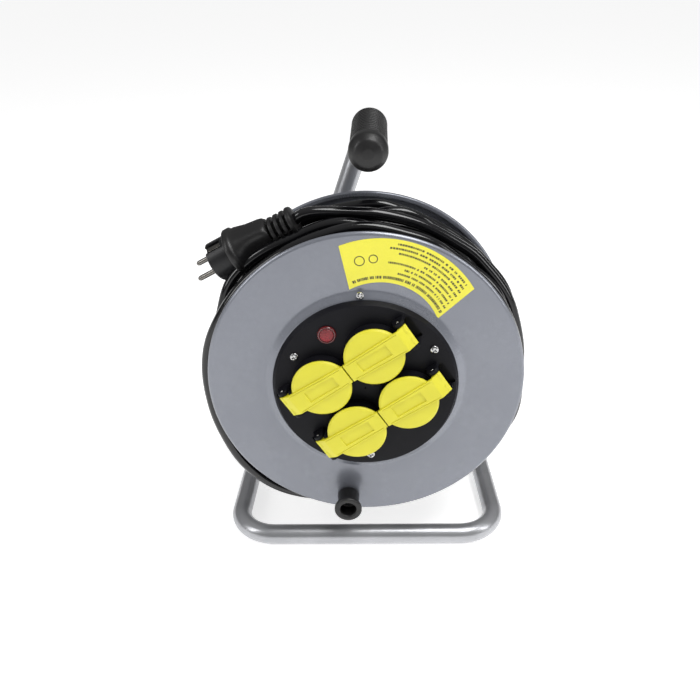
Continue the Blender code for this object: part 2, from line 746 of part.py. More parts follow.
def make_cutout(drum):
    """Thermal cut-out behind the panel, its red bezel and its reset button."""
    place = Vector((BUTTON_X, 0, BUTTON_Z))
    bezel = [
        (6.5 * MM, PANEL_FACE - 2.6 * MM), (7.6 * MM, PANEL_FACE - 2.6 * MM),
        (8.4 * MM, PANEL_FACE - 1.4 * MM),
        (8.4 * MM, PANEL_FACE - GAP), (7.1 * MM, PANEL_FACE - GAP), (7.1 * MM, PANEL_FACE + 5 * MM),
        (6.5 * MM, PANEL_FACE + 5 * MM),
    ]
    lathe("cutout_bezel", bezel, 20, red_plastic(), drum).location = place
    body = [
        (0, 1.6 * MM), (6 * MM, 1.6 * MM), (6 * MM, PANEL_FACE + 5.4 * MM), (9 * MM, PANEL_FACE + 5.4 * MM),
        (9 * MM, 24 * MM), (0, 24 * MM),
    ]
    lathe("cutout_body", body, 16, black_plastic(), drum).location = place
    pivot = empty("button_axis", AXIS + place + Vector((0, PANEL_FACE, 0)), drum)
    button = [(0, -3 * MM), (5.4 * MM, -3 * MM), (6.2 * MM, -2.2 * MM), (6.2 * MM, 1.6 * MM), (0, 1.6 * MM)]
    lathe("reset_button", button, 20, red_plastic(), pivot)


def make_screws(drum):
    """Three panel screws and the earthing screw on the flange's step."""
    for k, point in enumerate(screw_points()):
        screw = pan_screw("panel_screw_%d" % (k + 1), 4.4 * MM, 2 * MM, 12 * MM, drum)
        screw.location = point + Vector((0, PANEL_FACE - GAP, 0))
    angle = radians(92.5)
    radius = STEP_R - 2.8 * MM
    screw = pan_screw("earth_screw", 3.6 * MM, 1.4 * MM, 0, drum)
    screw.location = (radius * cos(angle), -0.95 * STEP_H - 0.4 * MM, radius * sin(angle))


def pan_screw(name, head_r, shank_r, shank, drum):
    """Pan head; the head's seat is at depth 0."""
    profile = [(0, -2.2 * MM), (0.5 * head_r, -2.1 * MM), (0.88 * head_r, -1.4 * MM),
               (head_r, -0.4 * MM), (head_r, 0)]
    if shank:
        profile += [(shank_r, 0), (shank_r, shank)]
        profile += [(0, shank)]
    else:
        profile += [(0, 0)]
    return lathe(name, profile, 12, zinc(), drum)


def make_label(drum):
    """Sticker on the flange: two arcs around their own centre and straight ends."""
    centre = (13 * MM, 45 * MM)
    outline = arc(centre, 94.3 * MM, 31, 111.5, 12)
    outline += arc(centre, 55.5 * MM, 118.7, 21.4, 10)
    prism("rating_label", outline, -GAP - 0.3 * MM, -GAP, yellow_plastic(), drum)


def make_knob(drum):
    """Crank knob turning on a shouldered rivet that is fixed in the front flange."""
    place = Vector((KNOB_X, 0, KNOB_Z))
    front = -KNOB_REACH
    collar = 13.1 * MM
    mouth = 7.7 * MM
    seat = -9.2 * MM
    profile = [
        (3.3 * MM, -1.2 * MM), (3.3 * MM, seat), (mouth, seat), (mouth, front + 0.5 * MM),
        (mouth + 0.6 * MM, front), (collar - MM, front), (collar, front + MM), (collar, front + 3.6 * MM),
        (collar - 1.2 * MM, front + 4.6 * MM), (KNOB_R - 0.4 * MM, front + 5.4 * MM),
        (KNOB_R + 0.6 * MM, -1.2 * MM),
    ]
    pivot = empty("knob_axis", AXIS + place, drum)
    lathe("crank_knob", profile, 16, black_plastic(), pivot)
    rivet = [
        (0, seat - 2.6 * MM), (4.4 * MM, seat - 2.2 * MM), (5.6 * MM, seat - GAP), (3 * MM, seat - GAP),
        (3 * MM, SHEET + GAP), (5 * MM, SHEET + GAP), (5 * MM, SHEET + 1.2 * MM), (0, SHEET + 1.2 * MM),
    ]
    lathe("knob_rivet", rivet, 16, zinc(), drum).location = place


# ---------------------------------------------------------------- cable and plug

def make_winding(drum):
    """Outer shape of the wound cable, with the groove in which plug and lead lie."""
    front = 3 * MM
    back = DRUM_W - SHEET - 0.6 * MM
    hem_front = HEM_T + 0.4 * MM
    hem_back = DRUM_W - HEM_T - 0.4 * MM
    under_hem = FLANGE_R - HEM_W - 1.5 * MM
    profile = [
        (CORE_R + 2.5 * MM, front), (under_hem, front), (under_hem, hem_front),
        (SHOULDER_R - 2 * MM, hem_front),
        (SHOULDER_R, hem_front + 3 * MM), (SHOULDER_R, GROOVE[0] - 2 * MM), (WINDING_R, GROOVE[0]),
        (WINDING_R, GROOVE[1]), (SHOULDER_R, GROOVE[1] + 2 * MM), (SHOULDER_R, hem_back - 3 * MM),
        (SHOULDER_R - 2 * MM, hem_back), (under_hem, hem_back), (under_hem, back), (CORE_R + 2.5 * MM, back),
    ]
    lathe("cable_winding", profile, 36, cable_pvc(), drum)


def lead_route():
    """Centre line of the lead, from the winding's groove up to the strain relief."""
    end = PLUG_FACE - PLUG_AXIS * (PLUG_LENGTH + GAP)
    points = []
    start_angle = 25.0
    end_angle = 100.0
    steps = 10
    for i in range(steps):
        share = i / steps
        angle = radians(start_angle + (end_angle - start_angle) * share)
        rise = share ** 3
        radius = WINDING_R + CABLE_R + MM + 6 * MM * rise
        points.append(Vector((radius * cos(angle), 52 * MM - 8 * MM * rise, radius * sin(angle))))
    points.append(end - PLUG_AXIS * 14 * MM)
    points.append(end)
    return points


def smooth_points(points, spacing):
    """Evenly spaced points on a Catmull-Rom curve through the given ones."""
    dense = []
    padded = [2 * points[0] - points[1]] + points + [2 * points[-1] - points[-2]]
    for a, b, c, d in zip(padded, padded[1:], padded[2:], padded[3:]):
        for i in range(20):
            t = i / 20
            dense.append(0.5 * (2 * b + (c - a) * t + (2 * a - 5 * b + 4 * c - d) * t * t
                                + (3 * b - a - 3 * c + d) * t * t * t))
    dense.append(points[-1])
    total = sum((q - p).length for p, q in zip(dense, dense[1:]))
    count = max(2, round(total / spacing))
    even = [dense[0]]
    travelled = 0.0
    for p, q in zip(dense, dense[1:]):
        step = (q - p).length
        while len(even) < count and travelled + step >= total * len(even) / count:
            share = (total * len(even) / count - travelled) / step
            even.append(p.lerp(q, share))
        travelled += step
    even.append(dense[-1])
    return even


def make_lead(drum):
    route = lead_route()
    points = smooth_points(route[:-1], 5 * CABLE_R) + route[-1:]
    cable_curve("cable_lead", points, CABLE_R, 2, cable_pvc(), drum)


def plug_matrix():
    """Plug axes: local -Y out of the face along the pins, local Z along the pin line."""
    back = -PLUG_AXIS
    across = (PIN_LINE - back * PIN_LINE.dot(back)).normalized()
    side = back.cross(across)
    return Matrix((side, back, across)).transposed().to_4x4()


def make_plug(drum):
    """Two-pin plug with side earth contacts: front insert, grip body, relief and pins."""
    pose = Matrix.Translation(PLUG_FACE) @ plug_matrix()
    insert_end = 20 * MM
    relief_start = 60 * MM
    insert_profile = [(0, 0), (PLUG_R - MM, 0), (PLUG_R, MM), (PLUG_R, insert_end), (0, insert_end)]
    insert = lathe("plug_insert", insert_profile, 20, black_plastic(), drum)
    body_profile = [
        (0, insert_end + GAP), (PLUG_R + 4 * MM, insert_end + GAP), (PLUG_R + 4 * MM, insert_end + 5 * MM),
        (PLUG_R + 1.5 * MM, insert_end + 8 * MM), (15.5 * MM, 40 * MM), (14.5 * MM, 54 * MM),
        (11 * MM, relief_start),
        (0, relief_start),
    ]
    body = lathe("plug_body", body_profile, 20, black_rubber(), drum)
    relief_profile = [
        (0, relief_start + GAP), (12.5 * MM, relief_start + GAP), (13 * MM, PLUG_LENGTH - 5 * MM),
        (12 * MM, PLUG_LENGTH), (0, PLUG_LENGTH),
    ]
    relief = lathe("strain_relief", relief_profile, 16, black_rubber(), drum)
    for obj in (insert, body, relief):
        obj.matrix_local = pose
    for k, side in enumerate((-1, 1)):
        hole = lathe("plug_pin_hole_%d" % (k + 1), solid_rod(PIN_R + GAP, -2 * MM, 10 * MM), 10, None, drum)
        pin_pose = pose @ Matrix.Translation((0, 0, side * PIN_HALF))
        hole.matrix_local = pin_pose
        boolean(insert, hole, "DIFFERENCE")
        rod = [(0, -19 * MM), (1.5 * MM, -18.6 * MM), (PIN_R, -17.4 * MM), (PIN_R, 9.6 * MM), (0, 9.6 * MM)]
        pin = lathe("plug_pin_%d" % (k + 1), rod, 10, nickel(), drum)
        pin.matrix_local = pin_pose
        slot = prism("plug_slot_%d" % (k + 1), rounded_rectangle(2.2 * MM, 4 * MM, 0.5 * MM, 1),
                     -2 * MM, 16 * MM, None, drum)
        slot.matrix_local = pose @ Matrix.Translation((side * (PLUG_R - 0.6 * MM), 0, 0))
        boolean(insert, slot, "DIFFERENCE")
        strip = prism("plug_earth_%d" % (k + 1), rounded_rectangle(0.5 * MM, 3.2 * MM, 0.3 * MM, 1),
                      0.6 * MM, 15.5 * MM, nickel(), drum)
        strip.matrix_local = pose @ Matrix.Translation((side * (PLUG_R - 1.8 * MM), 0, 0))


# ---------------------------------------------------------------- assembly

def clear_scene():
    for obj in list(bpy.data.objects):
        bpy.data.objects.remove(obj, do_unlink=True)


def main():
    clear_scene()
    drum = empty("drum_axis", AXIS)
    make_stand_tube()
    make_tube_end_cap()
    make_hub_plate()
    make_axle_parts()
    make_handle_grip()
    make_flanges(drum)
    make_core(drum)
    make_hub_sleeve(drum)
    make_panel(drum)
    make_socket_cups(drum)
    make_earth_clips(drum)
    make_contact_rails(drum)
    make_back_cover(drum)
    make_lids(drum)
    make_hinge_hardware(drum)
    make_cutout(drum)
    make_screws(drum)
    make_label(drum)
    make_knob(drum)
    make_winding(drum)
    make_lead(drum)
    make_plug(drum)


main()
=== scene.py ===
"""Extension cord reel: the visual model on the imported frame.

Lengths are millimetres unless a name ends in _M.  Drum pieces are made in drum
axes: x to the right, depth behind the front flange's face as y, z up, with the
origin on the drum's axis.  Every mesh is scaled to metres as it is finished.
"""
import json
import random
from math import acos, cos, pi, radians, sin, tan

import bmesh
import bpy
from mathutils import Matrix, Vector


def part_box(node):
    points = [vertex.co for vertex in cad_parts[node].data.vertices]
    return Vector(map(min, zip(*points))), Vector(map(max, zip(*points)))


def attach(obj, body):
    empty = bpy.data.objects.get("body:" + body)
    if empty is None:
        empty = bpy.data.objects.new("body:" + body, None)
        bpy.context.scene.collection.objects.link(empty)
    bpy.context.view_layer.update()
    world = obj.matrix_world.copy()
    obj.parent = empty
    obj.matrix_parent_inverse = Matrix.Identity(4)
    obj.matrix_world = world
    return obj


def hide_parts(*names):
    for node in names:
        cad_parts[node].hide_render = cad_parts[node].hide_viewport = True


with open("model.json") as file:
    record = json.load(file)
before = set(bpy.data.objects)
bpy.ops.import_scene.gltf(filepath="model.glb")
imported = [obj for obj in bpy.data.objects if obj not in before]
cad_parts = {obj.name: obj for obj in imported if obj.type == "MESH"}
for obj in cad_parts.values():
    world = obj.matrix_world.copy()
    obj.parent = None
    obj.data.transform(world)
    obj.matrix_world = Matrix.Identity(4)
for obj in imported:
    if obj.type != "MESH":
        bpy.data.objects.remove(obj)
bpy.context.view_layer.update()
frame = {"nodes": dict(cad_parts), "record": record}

MM = 0.001


def node_box(name):
    """Lowest and highest corner of a CAD node in millimetres."""
    low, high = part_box(name)
    return low / MM, high / MM


# ---------------------------------------------------------------- sizes from the frame

FRONT_LOW, FRONT_HIGH = node_box("front_flange")
REAR_LOW = node_box("rear_flange")[0]
HEM_T = 5.0
FLANGE_R = (FRONT_HIGH.x - FRONT_LOW.x) / 2
FACE_Y = FRONT_HIGH.y - HEM_T
AXIS = Vector(((FRONT_HIGH.x + FRONT_LOW.x) / 2, FACE_Y, (FRONT_HIGH.z + FRONT_LOW.z) / 2))
DRUM_W = REAR_LOW.y + HEM_T - FACE_Y
DRUM = Matrix.Translation(AXIS)

SHEET = 1.2
HEM_W = 6.0
CORE_R = 90.0
OPENING_R = 80.0
STEP_R = 91.5
STEP_H = 4.1
REAR_STEP = 2.5

PANEL_R = 84.5
PANEL_FACE = -10.3
PITCH = 56.0
GRID_ANGLE = radians(33.3)
BUTTON_X = -33.5
BUTTON_Z = 54.5
COLLAR_R = 25.0
COLLAR_FRONT = -22.0
CUP_R = 19.6
CUP_DEPTH = 17.5
LID_R = 27.0
LID_BACK = -22.4
LID_FRONT = -25.4
STRAP_FRONT = -26.8
STRAP_HALF = 9.0
TIP_HALF = 10.8
STRAP_FLARE = radians(1.55)
HINGE_U = 33.5
HINGE_Y = -18.6

TUBE_R = 10.0
BEND_R = 38.0
STAND_LENGTH = 160.0
FRONT_HALF = 133.5
REAR_HALF = 127.0
UPRIGHT_ABOVE_AXIS = 34.0
TUBE_IN_GRIP = 8.0
GRIP_SLANT = 0.017
GRIP_OVERHANG = 6.0

CABLE_D = 10.0
ENTRY_Y = 22.0
PLUG_LENGTH = 85.0
INSERT_R = 18.4
PIN_HALF = 9.5


# ---------------------------------------------------------------- camera

LENS = 43.71
SENSOR = 36.0
CAMERA_FROM_AXIS = Vector((2.2, -674.3, 389.3))
CAMERA_PITCH = radians(27.81)
CAMERA_YAW = radians(-1.34)
CAMERA_ROLL = radians(-1.14)


def make_camera():
    heading = Vector((sin(CAMERA_YAW), cos(CAMERA_YAW), 0))
    forward = heading * cos(CAMERA_PITCH) - Vector((0, 0, sin(CAMERA_PITCH)))
    level = Vector((cos(CAMERA_YAW), -sin(CAMERA_YAW), 0))
    down = forward.cross(level)
    right = cos(CAMERA_ROLL) * level - sin(CAMERA_ROLL) * down
    down = sin(CAMERA_ROLL) * level + cos(CAMERA_ROLL) * down
    data = bpy.data.cameras.new("camera")
    data.lens = LENS
    data.sensor_width = SENSOR
    camera = bpy.data.objects.new("camera", data)
    bpy.context.scene.collection.objects.link(camera)
    turn = Matrix((right, -down, -forward)).transposed()
    camera.matrix_world = Matrix.Translation((AXIS + CAMERA_FROM_AXIS) * MM) @ turn.to_4x4()
    bpy.context.scene.camera = camera


# ---------------------------------------------------------------- mesh helpers

def finish(name, bm, mat, body, place=None, bevel=0.0, sharp=38.0):
    """Turn a bmesh in millimetres into a piece that rides on a body."""
    bmesh.ops.recalc_face_normals(bm, faces=bm.faces)
    mesh = bpy.data.meshes.new(name)
    bm.to_mesh(mesh)
    bm.free()
    mesh.transform(Matrix.Scale(MM, 4))
    mesh.materials.append(mat)
    mesh.shade_smooth()
    mesh.set_sharp_from_angle(angle=radians(sharp))
    obj = bpy.data.objects.new(name, mesh)
    bpy.context.scene.collection.objects.link(obj)
    matrix = (DRUM if place is None else place).copy()
    matrix.translation = matrix.translation * MM
    obj.matrix_world = matrix
    if bevel:
        mod = obj.modifiers.new("edges", "BEVEL")
        mod.width = bevel * MM
        mod.segments = 2
        mod.limit_method = "ANGLE"
        mod.angle_limit = radians(sharp)
        mod.harden_normals = True
    if body:
        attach(obj, body)
    return obj


def carve(obj, tools):
    """Cut the tools' closed shapes out of a piece, and remove the tools."""
    for tool in tools:
        mod = obj.modifiers.new("cut", "BOOLEAN")
        mod.operation = "DIFFERENCE"
        mod.solver = "EXACT"
        mod.object = tool
    bpy.context.view_layer.update()
    graph = bpy.context.evaluated_depsgraph_get()
    cut = bpy.data.meshes.new_from_object(obj.evaluated_get(graph))
    obj.modifiers.clear()
    obj.data = cut
    for tool in tools:
        bpy.data.objects.remove(tool, do_unlink=True)
    cut.shade_smooth()
    cut.set_sharp_from_angle(angle=radians(38))


def fillet(outline, steps=4):
    """Round the corners of a closed outline whose points carry a third value, the radius."""
    result = []
    count = len(outline)
    for i, point in enumerate(outline):
        corner = Vector(point[:2])
        radius = point[2] if len(point) > 2 else 0
        if not radius:
            result.append(tuple(corner))
            continue
        back = (Vector(outline[i - 1][:2]) - corner).normalized()
        ahead = (Vector(outline[(i + 1) % count][:2]) - corner).normalized()
        half = acos(max(-1, min(1, back.dot(ahead)))) / 2
        if half > pi / 2 - 0.02:
            result.append(tuple(corner))
            continue
        centre = corner + (back + ahead).normalized() * radius / sin(half)
        start = corner + back * radius / tan(half) - centre
        stop = corner + ahead * radius / tan(half) - centre
        angle = start.angle(stop)
        for k in range(steps + 1):
            t = k / steps
            result.append(tuple(centre + (start * sin((1 - t) * angle) + stop * sin(t * angle)) / sin(angle)))
    return result


def lathe_bmesh(profile, segments=96, steps=4):
    """Spin a closed (radius, depth, corner radius) outline around the Y axis."""
    bm = bmesh.new()
    rings = []
    for radius, depth in fillet(profile, steps):
        if radius < 1e-6:
            rings.append([bm.verts.new((0, depth, 0))])
            continue
        turn = [2 * pi * i / segments for i in range(segments)]
        rings.append([bm.verts.new((radius * cos(a), depth, radius * sin(a))) for a in turn])
    for ring, nxt in zip(rings, rings[1:] + rings[:1]):
        for i in range(segments):
            j = (i + 1) % segments
            corners = [ring[i % len(ring)], ring[j % len(ring)], nxt[j % len(nxt)], nxt[i % len(nxt)]]
            unique = list(dict.fromkeys(corners))
            if len(unique) > 2:
                bm.faces.new(unique)
    return bm


def lathe(name, profile, mat, body, place=None, segments=96, steps=4, sharp=38.0):
    return finish(name, lathe_bmesh(profile, segments, steps), mat, body, place, sharp=sharp)


def prism_into(bm, outline, low, high, axis="Y"):
    """Extrude an (a, b) outline along Y or Z: a, b are X, Z for Y, and X, Y for Z."""
    def spot(a, b, c):
        return (a, c, b) if axis == "Y" else (a, b, c)

    bottom = [bm.verts.new(spot(a, b, low)) for a, b in outline]
    top = [bm.verts.new(spot(a, b, high)) for a, b in outline]
    bm.faces.new(bottom)
    bm.faces.new(top)
    for i in range(len(outline)):
        j = (i + 1) % len(outline)
        bm.faces.new((bottom[i], bottom[j], top[j], top[i]))
    return bm


def prism(name, outline, low, high, mat, body, place=None, axis="Y", bevel=0.0, steps=5):
    bm = prism_into(bmesh.new(), fillet(outline, steps), low, high, axis)
    return finish(name, bm, mat, body, place, bevel)


def rectangle(half_a, half_b, corner=0.0):
    return [(half_a, half_b, corner), (-half_a, half_b, corner),
            (-half_a, -half_b, corner), (half_a, -half_b, corner)]


def arc(centre, radius, start, stop, steps):
    turns = [radians(start + (stop - start) * i / steps) for i in range(steps + 1)]
    return [(centre[0] + radius * cos(a), centre[1] + radius * sin(a)) for a in turns]


def rod(radius, low, high):
    return [(0, low), (radius, low), (radius, high), (0, high)]


def ring(inner, outer, low, high, corner=0.0):
    return [(inner, low, corner), (outer, low, corner), (outer, high, corner), (inner, high, corner)]


def cylinder_tool(radius, low, high, place, segments=48):
    return finish("tool", lathe_bmesh(rod(radius, low, high), segments), steel(), None, place)


def box_tool(half_a, half_b, low, high, place, corner=0.0):
    bm = prism_into(bmesh.new(), fillet(rectangle(half_a, half_b, corner)), low, high)
    return finish("tool", bm, steel(), None, place)


def at(x, y, z, angle=0.0):
    """A place in drum axes, turned by an angle from X towards Z."""
    return DRUM @ Matrix.Translation((x, y, z)) @ Matrix.Rotation(-angle, 4, "Y")


def catmull(points, spacing, fine_from, fine):
    """A smooth curve's points, one spacing apart, and closer together from one given point on."""
    dense = []
    padded = [2 * points[0] - points[1]] + points + [2 * points[-1] - points[-2]]
    for index, (a, b, c, d) in enumerate(zip(padded, padded[1:], padded[2:], padded[3:])):
        gap = spacing if index < fine_from else fine
        steps = max(1, round((c - b).length / gap))
        for i in range(steps):
            t = i / steps
            dense.append(0.5 * (2 * b + (c - a) * t + (2 * a - 5 * b + 4 * c - d) * t * t
                                + (3 * b - a - 3 * c + d) * t ** 3))
    dense.append(points[-1])
    return dense


def filleted_path(corners, radius, steps):
    """Round each inner corner of a 3D polyline."""
    path = [corners[0]]
    for before, corner, after in zip(corners, corners[1:], corners[2:]):
        back = (before - corner).normalized()
        ahead = (after - corner).normalized()
        half = acos(back.dot(ahead)) / 2
        centre = corner + (back + ahead).normalized() * radius / sin(half)
        start = corner + back * radius / tan(half) - centre
        stop = corner + ahead * radius / tan(half) - centre
        angle = start.angle(stop)
        for k in range(steps + 1):
            t = k / steps
            path.append(centre + (start * sin((1 - t) * angle) + stop * sin(t * angle)) / sin(angle))
    path.append(corners[-1])
    return path


# ---------------------------------------------------------------- materials

def surface(name, dark, light, roughness, metallic=0.0, grain=900.0, bump=0.02, spread=0.06,
            coat=0.0, blotch=40.0, specular=0.5):
    """Principled material: large soft blotches and fine grain in colour, roughness and bump."""
    mat = bpy.data.materials.get(name + "_look")
    if mat is not None:
        return mat
    mat = bpy.data.materials.new(name + "_look")
    mat.use_nodes = True
    nodes = mat.node_tree.nodes
    link = mat.node_tree.links.new
    shader = nodes["Principled BSDF"]
    shader.inputs["Metallic"].default_value = metallic
    shader.inputs["Coat Weight"].default_value = coat
    shader.inputs["Coat Roughness"].default_value = 0.12
    shader.inputs["Specular IOR Level"].default_value = specular
    coords = nodes.new("ShaderNodeTexCoord")
    large = noise(mat, coords, blotch, 3)
    fine = noise(mat, coords, grain, 5)
    mix = nodes.new("ShaderNodeMath")
    mix.operation = "MULTIPLY_ADD"
    mix.inputs[1].default_value = 0.45
    link(fine.outputs["Fac"], mix.inputs[0])
    half = nodes.new("ShaderNodeMath")
    half.operation = "MULTIPLY"
    half.inputs[1].default_value = 0.55
    link(large.outputs["Fac"], half.inputs[0])
    link(half.outputs[0], mix.inputs[2])
    ramp = nodes.new("ShaderNodeValToRGB")
    ramp.color_ramp.elements[0].position = 0.3
    ramp.color_ramp.elements[1].position = 0.7
    ramp.color_ramp.elements[0].color = (*dark, 1)
    ramp.color_ramp.elements[1].color = (*light, 1)
    link(mix.outputs[0], ramp.inputs["Fac"])
    link(ramp.outputs["Color"], shader.inputs["Base Color"])
    rough = nodes.new("ShaderNodeMapRange")
    rough.inputs["To Min"].default_value = max(0.03, roughness - spread)
    rough.inputs["To Max"].default_value = min(1.0, roughness + spread)
    link(mix.outputs[0], rough.inputs["Value"])
    link(rough.outputs["Result"], shader.inputs["Roughness"])
    relief = nodes.new("ShaderNodeBump")
    relief.inputs["Strength"].default_value = 1.0
    relief.inputs["Distance"].default_value = bump * MM
    link(fine.outputs["Fac"], relief.inputs["Height"])
    link(relief.outputs["Normal"], shader.inputs["Normal"])
    return mat


def noise(mat, coords, scale, detail):
    node = mat.node_tree.nodes.new("ShaderNodeTexNoise")
    node.inputs["Scale"].default_value = scale
    node.inputs["Detail"].default_value = detail
    mat.node_tree.links.new(coords.outputs["Object"], node.inputs["Vector"])
    return node


def tube_paint():
    return surface("silver_tube_paint", (0.33, 0.335, 0.35), (0.43, 0.435, 0.455), 0.32, 0.7,
                   grain=2600, bump=0.01, coat=0.25)


def flange_paint():
    return surface("grey_flange_paint", (0.17, 0.18, 0.21), (0.2, 0.21, 0.24), 0.27, 0.4,
                   grain=2200, bump=0.02, coat=0.35, blotch=18)


def steel():
    return surface("zinc_plate", (0.36, 0.36, 0.36), (0.58, 0.58, 0.58), 0.16, 1.0, grain=1500, bump=0.01)


def nickel():
    return surface("nickel_plate", (0.24, 0.235, 0.22), (0.36, 0.35, 0.33), 0.16, 1.0, grain=2500, bump=0.006)


def pin_metal():
    return surface("pin_metal", (0.1, 0.097, 0.09), (0.2, 0.19, 0.175), 0.24, 1.0, grain=1500, bump=0.004)


def brass():
    return surface("brass", (0.62, 0.45, 0.18), (0.8, 0.6, 0.28), 0.28, 1.0, grain=1500, bump=0.01)


def panel_black():
    return surface("panel_black", (0.004, 0.004, 0.0055), (0.008, 0.008, 0.0105), 0.42, grain=3200, bump=0.05,
                   specular=0.12)


def plug_black():
    return surface("plug_black", (0.006, 0.006, 0.007), (0.013, 0.013, 0.014), 0.36, grain=1800, bump=0.05,
                   specular=0.3)


def rubber_black():
    return surface("rubber_black", (0.004, 0.004, 0.0045), (0.011, 0.0105, 0.0105), 0.4, grain=1400,
                   bump=0.06, specular=0.4)


def cable_black():
    return surface("cable_pvc", (0.0025, 0.0025, 0.003), (0.005, 0.005, 0.006), 0.13, grain=900, bump=0.02,
                   spread=0.04)


def lid_yellow():
    return surface("lid_yellow", (0.61, 0.56, 0.02), (0.69, 0.64, 0.03), 0.42, grain=2600, bump=0.04)


def label_yellow():
    return surface("label_yellow", (0.72, 0.67, 0.03), (0.8, 0.74, 0.04), 0.34, grain=700, bump=0.01,
                   coat=0.3)


def label_ink():
    return surface("label_ink", (0.02, 0.02, 0.012), (0.05, 0.048, 0.02), 0.5, grain=4000, bump=0.0)


def red_plastic():
    return surface("red_plastic", (0.05, 0.001, 0.002), (0.13, 0.003, 0.005), 0.16, grain=1200, bump=0.02,
                   coat=0.5)


def red_stipple():
    return surface("red_stipple", (0.01, 0.001, 0.001), (0.36, 0.04, 0.05), 0.25, grain=900, bump=0.3,
                   specular=0.3)


# ---------------------------------------------------------------- cable

POINTS_PER_TURN = 12
WOUND_SPACING = 18.0
LOOSE_SPACING = 5.0
LAYERS = 5
LAYER_TURNS = 7
LAYER_FIRST_R = 96.0
LAYER_STEP = 8.9
LAYER_FRONT = 7.6
LAYER_BACK = 110.2

# The loose outer turns, in winding order: angle from X in degrees, radius, depth
LOOSE_TURNS = (
    (-50, 137, 104), (0, 141, 101), (40, 138, 98), (90, 133.5, 96), (150, 136, 93), (210, 139, 90),
    (270, 141.5, 86), (310, 143.5, 83), (345, 147, 81), (377, 146.3, 80), (397, 141.5, 80), (411, 136.8, 80),
    (435, 140.5, 80), (451, 142.2, 80), (480, 142, 78), (510, 141, 76), (570, 141, 72),
    (630, 141, 68), (690, 142, 66), (720, 142, 65), (780, 138.5, 63), (810, 137, 62), (870, 139, 58),
    (930, 140, 52), (990, 141, 46), (1050, 141, 42), (1110, 140, 38), (1170, 138.5, 35), (1200, 143.5, 33),
    (1220, 149.5, 31), (1235, 144, 28), (1260, 141, 25), (1290, 141, 23), (1350, 141.5, 19),
    (1410, 142, 17), (1440, 142, 17), (1470, 140, 18), (1500, 138.5, 20), (1517, 140, 20), (1531, 142.7, 19),
    (1545, 141, 16.5), (1560, 140.5, 13.5), (1580, 142, 11.5), (1600, 144.8, 11.5), (1615, 147, 12.5),
    (1631, 148, 13.5), (1645, 151, 15), (1660, 156.5, 17), (1675, 158, 19), (1690, 153.5, 23),
    (1710, 148, 28), (1750, 147, 36), (1790, 146.5, 42), (1820, 146.2, 47), (1842, 144, 49.5),
    (1855, 142, 50.5), (1869, 142.5, 50), (1882, 144, 49), (1892, 146, 47.5),
)
PLUG_FACE = Vector((-135.0, 45.1, 101.4))
PLUG_AXIS = Vector((-0.878, 0.033, -0.477)).normalized()
PIN_LINE = Vector((-0.21, 0.89, 0.40))


def polar(angle, radius, depth):
    a = radians(angle)
    return Vector((radius * cos(a), depth, radius * sin(a)))


def cable_path():
    """The whole cable: round layers from the grommet outwards, then the loose turns and the lead."""
    points = []
    layer_steps = LAYER_TURNS * POINTS_PER_TURN
    for k in range(LAYERS * layer_steps):
        layer, step = divmod(k, layer_steps)
        share = step / layer_steps
        climb = min(1.0, step / 4)
        radius = LAYER_FIRST_R + LAYER_STEP * (layer - 1 + climb)
        if layer == 0:
            radius = CORE_R + 1 + (LAYER_FIRST_R - CORE_R - 1) * climb
        travel = share if layer % 2 == 0 else 1 - share
        depth = LAYER_FRONT + (LAYER_BACK - LAYER_FRONT) * travel
        if layer == 0:
            depth += (ENTRY_Y - LAYER_FRONT) * (1 - share) ** 6
        points.append(polar(-90 + 360 * k / POINTS_PER_TURN, radius, depth))
    end = PLUG_FACE - PLUG_AXIS * PLUG_LENGTH
    wound = len(points)
    points += [polar(*turn) for turn in LOOSE_TURNS]
    points += [end - PLUG_AXIS * 14, end + PLUG_AXIS * 4]
    return catmull(points, WOUND_SPACING, wound, LOOSE_SPACING)


def make_cable():
    path = cable_path()
    curve = bpy.data.curves.new("cable", "CURVE")
    curve.dimensions = "3D"
    curve.bevel_depth = CABLE_D / 2 * MM
    curve.bevel_resolution = 4
    curve.use_fill_caps = True
    curve.render_resolution_u = 0
    spline = curve.splines.new("POLY")
    spline.points.add(len(path) - 1)
    for target, point in zip(spline.points, path):
        target.co = (*((point + AXIS) * MM), 1)
    curve.materials.append(cable_black())
    cable = bpy.data.objects.new("cable", curve)
    bpy.context.scene.collection.objects.link(cable)
    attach(cable, "drum")
    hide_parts("cable_winding", "cable_lead")
    return cable


# ---------------------------------------------------------------- stand

def stand_corners():
    """The tube's centre line in world millimetres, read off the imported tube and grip."""
    tube_low = node_box("stand_tube")[0]
    grip_low, grip_high = node_box("handle_grip")
    grip_x = (grip_low.x + grip_high.x) / 2
    grip_z = (grip_low.z + grip_high.z) / 2
    front = tube_low.y + TUBE_R
    back = front + STAND_LENGTH
    bend_x = grip_x + GRIP_SLANT * STAND_LENGTH
    end_z = AXIS.z + UPRIGHT_ABOVE_AXIS
    lean = (bend_x + REAR_HALF) / (grip_z - TUBE_R)
    return [
        Vector((grip_x, grip_low.y + TUBE_IN_GRIP, grip_z)),
        Vector((bend_x, back, grip_z)),
        Vector((-REAR_HALF, back, TUBE_R)),
        Vector((-FRONT_HALF, front, TUBE_R)),
        Vector((FRONT_HALF, front, TUBE_R)),
        Vector((REAR_HALF, back, TUBE_R)),
        Vector((REAR_HALF - lean * (end_z - TUBE_R), back, end_z)),
    ]


